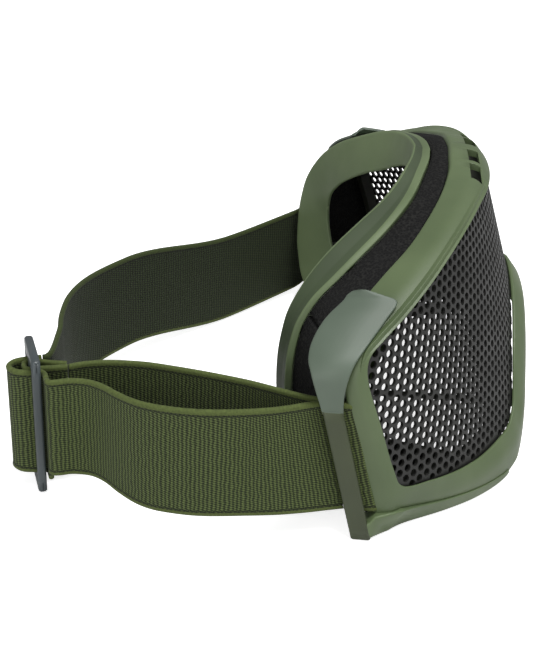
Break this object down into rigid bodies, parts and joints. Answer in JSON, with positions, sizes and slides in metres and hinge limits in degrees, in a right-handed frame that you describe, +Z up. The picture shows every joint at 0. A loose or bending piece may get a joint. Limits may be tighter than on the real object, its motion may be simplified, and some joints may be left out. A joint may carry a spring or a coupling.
{
  "type": "mesh safety goggles",
  "caption": "Wrap-around safety goggles with a perforated metal lens, soft face flange, foam strips and a doubled elastic strap with a slider.",
  "frame": {"origin": "middle of the underside of the bounding box, on the surface the goggles stand on", "axes": "+Z up, -Y the way the wearer looks, +X to the wearer's left"},
  "size_m": [0.2078, 0.1598, 0.0885],
  "materials": {
    "frame": "satin moulded",
    "lens_metal": "dark coated perforated steel",
    "body": "matt moulded",
    "flange": "soft matt",
    "foam": "open-cell foam",
    "clip": "satin moulded",
    "webbing": "woven elastic",
    "slider_plastic": "satin moulded"
  },
  "bodies": {
    "goggle": {"front_frame": "frame", "mesh_lens": "lens_metal", "inner_frame": "body", "face_flange": "flange", "brow_foam": "foam", "right_cheek_foam": "foam", "left_cheek_foam": "foam", "right_clip": "clip", "left_clip": "clip", "right_strap_wrap": "webbing", "left_strap_wrap": "webbing", "left_strap_hem": "webbing", "outer_strap": "webbing", "inner_strap": "webbing", "back_strap": "webbing"},
    "slider": {"slider": "slider_plastic", "strap_turn": "webbing", "slider_hem": "webbing"}
  },
  "joints": [
    {"name": "slider_slide", "type": "slide", "parent": "goggle", "child": "slider", "axis": [0, 1, 0], "range_m": [0, 0.018]}
  ]
}
